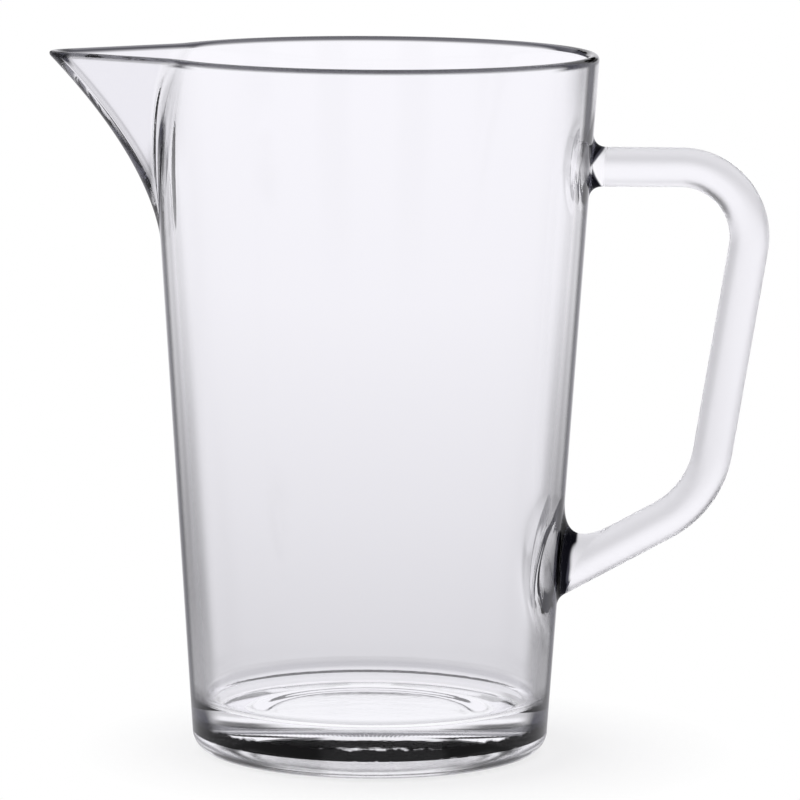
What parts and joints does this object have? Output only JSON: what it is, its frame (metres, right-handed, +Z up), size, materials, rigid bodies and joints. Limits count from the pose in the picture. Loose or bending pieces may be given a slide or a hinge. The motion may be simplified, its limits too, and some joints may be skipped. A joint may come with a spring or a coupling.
{
  "type": "glass pitcher",
  "caption": "Clear glass pitcher with a tapered round body, a heavy base, a pulled beak spout and a bent rod handle, for serving and pouring cold drinks.",
  "frame": {"origin": "middle of the whole object's length and width, on the table plane that the bearing ring stands on", "axes": "+Z up, +X from the spout towards the handle, +Y to the left of a person who looks along +X"},
  "size_m": [0.1942, 0.1212, 0.19],
  "materials": {
    "body_glass": "clear pressed glass, fire-polished",
    "handle_glass": "clear drawn glass rod, fire-polished"
  },
  "bodies": {
    "root": {"vessel": "body_glass", "handle": "handle_glass"}
  },
  "joints": []
}
